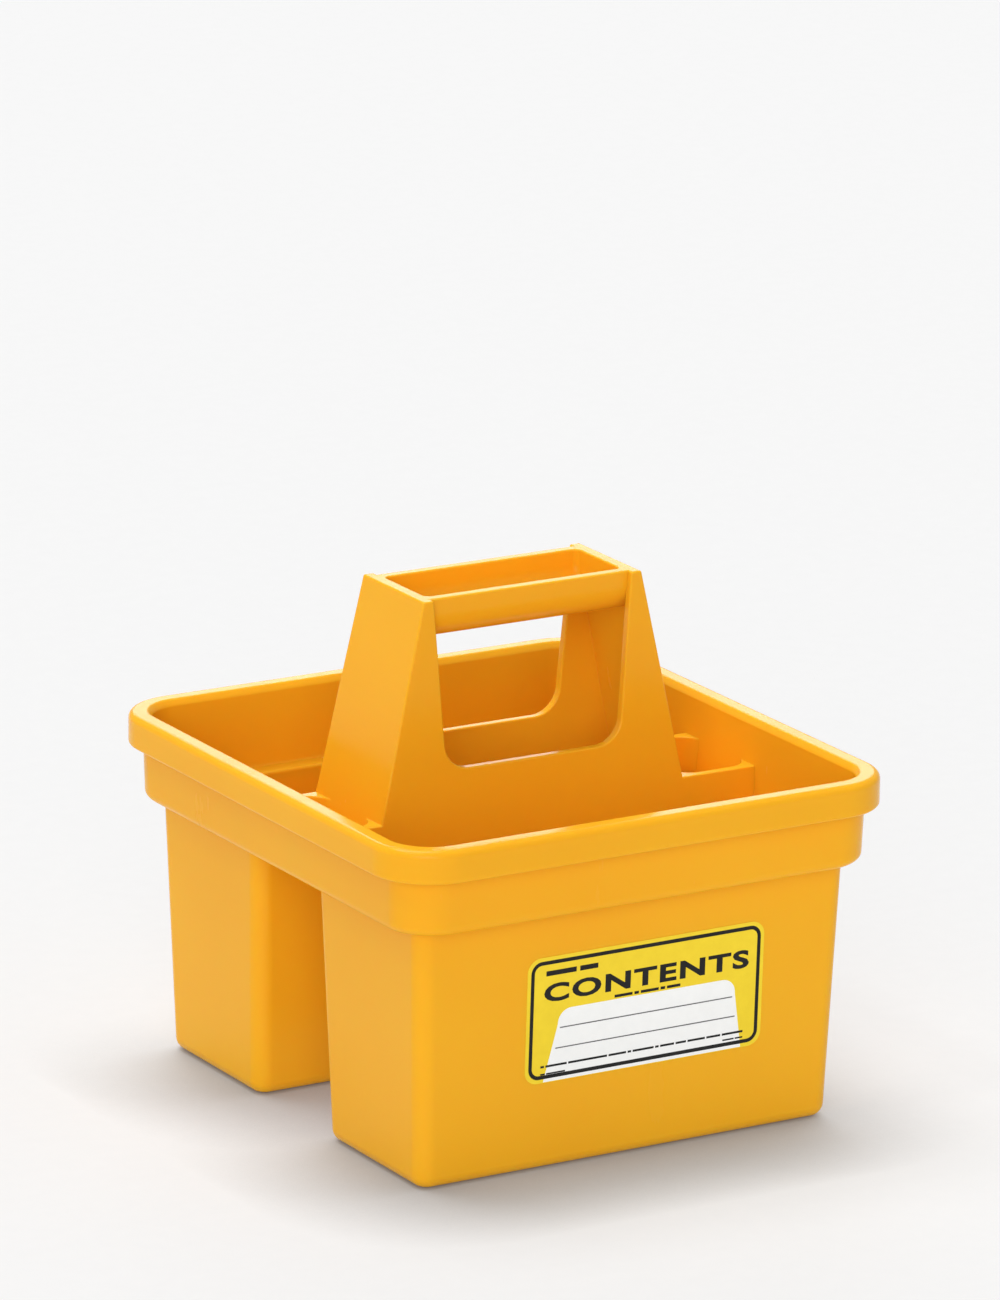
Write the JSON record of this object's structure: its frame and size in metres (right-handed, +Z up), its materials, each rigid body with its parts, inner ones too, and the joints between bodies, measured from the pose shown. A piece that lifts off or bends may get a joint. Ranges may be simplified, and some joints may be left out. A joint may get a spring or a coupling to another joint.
{
  "type": "storage caddy",
  "caption": "Small carry caddy with two deep bins, shallow side pockets, a fixed tapered handle tower with a pen tray as its grip, and a write-on label.",
  "frame": {"origin": "on the floor, under the middle of the caddy", "axes": "+X along the labelled face, to its right as seen from in front; the labelled face looks towards -Y; +Z up"},
  "size_m": [0.137, 0.145, 0.128],
  "materials": {
    "moulding": "glossy injection-moulded polypropylene, warm yellow-orange",
    "label_print": "printed self-adhesive label, yellow and white with black and grey printing"
  },
  "bodies": {
    "root": {"upper_tray": "moulding", "front_bin": "moulding", "rear_bin": "moulding", "handle_frame": "moulding", "pen_tray": "moulding", "label": "label_print"}
  },
  "joints": []
}
